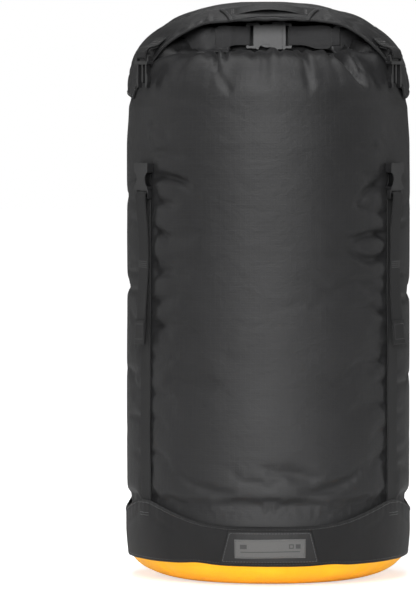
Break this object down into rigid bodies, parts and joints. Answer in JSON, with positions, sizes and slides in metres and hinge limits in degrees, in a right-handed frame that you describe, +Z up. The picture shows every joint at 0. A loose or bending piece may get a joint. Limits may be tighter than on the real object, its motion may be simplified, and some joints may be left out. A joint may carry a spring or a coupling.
{
  "type": "compression sack",
  "caption": "Tall round roll-top dry sack with a fabric compression lid; side straps with release buckles shorten it, a scalloped skirt guards the base.",
  "frame": {"origin": "centre of the base, on the surface the sack stands on", "axes": "+Z up along the tube, -Y towards the front (label and closure buckle side), +X to the right seen from the front"},
  "size_m": [0.2992, 0.2995, 0.6],
  "materials": {
    "coated_base": "coated fabric, matt",
    "ripstop": "coated ripstop nylon, low sheen",
    "skirt_fabric": "stretch panel fabric, matt",
    "binding": "grosgrain binding",
    "seam_tape": "heat-bonded seam tape",
    "patch": "laminated reinforcement patch",
    "label": "woven label, grey",
    "webbing": "20 mm flat webbing",
    "lid_fabric": "coated ripstop nylon",
    "grip": "ribbed moulded grip",
    "stiffener": "flexible strip",
    "buckle": "moulded acetal",
    "closure_buckle": "moulded acetal, grey"
  },
  "bodies": {
    "base": {"base_fabric": "coated_base", "base_seam_tape": "seam_tape", "base_skirt": "skirt_fabric", "skirt_binding": "binding", "label_patch": "patch", "size_label": "label", "sack_wall_lower": "ripstop", "front_left_strap": "webbing", "front_right_strap": "webbing", "back_right_strap": "webbing", "back_left_strap": "webbing"},
    "sack_middle": {"sack_wall_middle": "ripstop"},
    "sack_top": {"sack_wall_upper": "ripstop", "rolltop_roll": "ripstop", "rolltop_stiffener": "stiffener", "rolltop_tab_left": "webbing", "rolltop_tab_right": "webbing", "rolltop_socket": "closure_buckle"},
    "lid": {"lid_top_panel": "lid_fabric", "lid_side_band": "lid_fabric", "lid_binding": "binding", "handle_patch": "patch", "handle_grip": "grip", "lid_buckle_loops": "webbing", "front_left_plug": "buckle", "front_right_plug": "buckle", "back_right_plug": "buckle", "back_left_plug": "buckle"},
    "rolltop_insert": {"rolltop_plug": "closure_buckle"},
    "front_left_adjuster": {"front_left_socket": "buckle", "front_left_tail": "webbing"},
    "front_right_adjuster": {"front_right_socket": "buckle", "front_right_tail": "webbing"},
    "back_right_adjuster": {"back_right_socket": "buckle", "back_right_tail": "webbing"},
    "back_left_adjuster": {"back_left_socket": "buckle", "back_left_tail": "webbing"},
    "front_left_arm_a": {"front_left_arm_a": "buckle"},
    "front_left_arm_b": {"front_left_arm_b": "buckle"},
    "front_right_arm_a": {"front_right_arm_a": "buckle"},
    "front_right_arm_b": {"front_right_arm_b": "buckle"},
    "back_right_arm_a": {"back_right_arm_a": "buckle"},
    "back_right_arm_b": {"back_right_arm_b": "buckle"},
    "back_left_arm_a": {"back_left_arm_a": "buckle"},
    "back_left_arm_b": {"back_left_arm_b": "buckle"},
    "rolltop_arm_a": {"rolltop_arm_a": "closure_buckle"},
    "rolltop_arm_b": {"rolltop_arm_b": "closure_buckle"}
  },
  "joints": [
    {"name": "compress", "type": "slide", "parent": "base", "child": "sack_top", "axis": [0, 0, 1], "range_m": [-0.3, 0]},
    {"name": "sack_fold", "type": "slide", "parent": "base", "child": "sack_middle", "axis": [0, 0, 1], "range_m": [-0.15, 0]},
    {"name": "lid_lift", "type": "slide", "parent": "sack_top", "child": "lid", "axis": [0, 0, 1], "range_m": [0, 0.15]},
    {"name": "front_left_adjust", "type": "slide", "parent": "base", "child": "front_left_adjuster", "axis": [0, 0, 1], "range_m": [-0.1991, 0], "deforming": ["front_left_strap"]},
    {"name": "front_right_adjust", "type": "slide", "parent": "base", "child": "front_right_adjuster", "axis": [0, 0, 1], "range_m": [-0.1991, 0], "deforming": ["front_right_strap"]},
    {"name": "back_right_adjust", "type": "slide", "parent": "base", "child": "back_right_adjuster", "axis": [0, 0, 1], "range_m": [-0.1991, 0], "deforming": ["back_right_strap"]},
    {"name": "back_left_adjust", "type": "slide", "parent": "base", "child": "back_left_adjuster", "axis": [0, 0, 1], "range_m": [-0.1991, 0], "deforming": ["back_left_strap"]},
    {"name": "front_left_press_a", "type": "hinge", "parent": "lid", "child": "front_left_arm_a", "pos_m": [-0.12517, -0.0822, 0.5366], "axis": [0.866, 0.5, 0], "range_deg": [0, 7], "stiffness_Nm_per_rad": 0.35},
    {"name": "front_left_press_b", "type": "hinge", "parent": "lid", "child": "front_left_arm_b", "pos_m": [-0.13377, -0.0673, 0.5366], "axis": [-0.866, -0.5, 0], "range_deg": [0, 7], "stiffness_Nm_per_rad": 0.35},
    {"name": "front_right_press_a", "type": "hinge", "parent": "lid", "child": "front_right_arm_a", "pos_m": [0.13377, -0.0673, 0.5366], "axis": [-0.866, 0.5, 0], "range_deg": [0, 7], "stiffness_Nm_per_rad": 0.35},
    {"name": "front_right_press_b", "type": "hinge", "parent": "lid", "child": "front_right_arm_b", "pos_m": [0.12517, -0.0822, 0.5366], "axis": [0.866, -0.5, 0], "range_deg": [0, 7], "stiffness_Nm_per_rad": 0.35},
    {"name": "back_right_press_a", "type": "hinge", "parent": "lid", "child": "back_right_arm_a", "pos_m": [0.12517, 0.0822, 0.5366], "axis": [-0.866, -0.5, 0], "range_deg": [0, 7], "stiffness_Nm_per_rad": 0.35},
    {"name": "back_right_press_b", "type": "hinge", "parent": "lid", "child": "back_right_arm_b", "pos_m": [0.13377, 0.0673, 0.5366], "axis": [0.866, 0.5, 0], "range_deg": [0, 7], "stiffness_Nm_per_rad": 0.35},
    {"name": "back_left_press_a", "type": "hinge", "parent": "lid", "child": "back_left_arm_a", "pos_m": [-0.13377, 0.0673, 0.5366], "axis": [0.866, -0.5, 0], "range_deg": [0, 7], "stiffness_Nm_per_rad": 0.35},
    {"name": "back_left_press_b", "type": "hinge", "parent": "lid", "child": "back_left_arm_b", "pos_m": [-0.12517, 0.0822, 0.5366], "axis": [-0.866, 0.5, 0], "range_deg": [0, 7], "stiffness_Nm_per_rad": 0.35},
    {"name": "rolltop_release", "type": "slide", "parent": "sack_top", "child": "rolltop_insert", "axis": [1, 0, 0], "range_m": [0, 0.028], "deforming": ["rolltop_tab_right"]},
    {"name": "rolltop_press_a", "type": "hinge", "parent": "rolltop_insert", "child": "rolltop_arm_a", "pos_m": [0.015, -0.06, 0.5564], "axis": [0, 1, 0], "range_deg": [0, 7], "stiffness_Nm_per_rad": 0.35},
    {"name": "rolltop_press_b", "type": "hinge", "parent": "rolltop_insert", "child": "rolltop_arm_b", "pos_m": [0.015, -0.06, 0.5736], "axis": [0, -1, 0], "range_deg": [0, 7], "stiffness_Nm_per_rad": 0.35}
  ],
  "couplings": [
    {"joint": "sack_fold", "follows": "compress", "ratio": 0.5},
    {"joint": "front_left_adjust", "follows": "compress", "ratio": 0.66333},
    {"joint": "front_right_adjust", "follows": "compress", "ratio": 0.66333},
    {"joint": "back_right_adjust", "follows": "compress", "ratio": 0.66333},
    {"joint": "back_left_adjust", "follows": "compress", "ratio": 0.66333},
    {"joint": "front_left_press_b", "follows": "front_left_press_a", "ratio": 1},
    {"joint": "front_right_press_b", "follows": "front_right_press_a", "ratio": 1},
    {"joint": "back_right_press_b", "follows": "back_right_press_a", "ratio": 1},
    {"joint": "back_left_press_b", "follows": "back_left_press_a", "ratio": 1},
    {"joint": "rolltop_press_b", "follows": "rolltop_press_a", "ratio": 1}
  ]
}
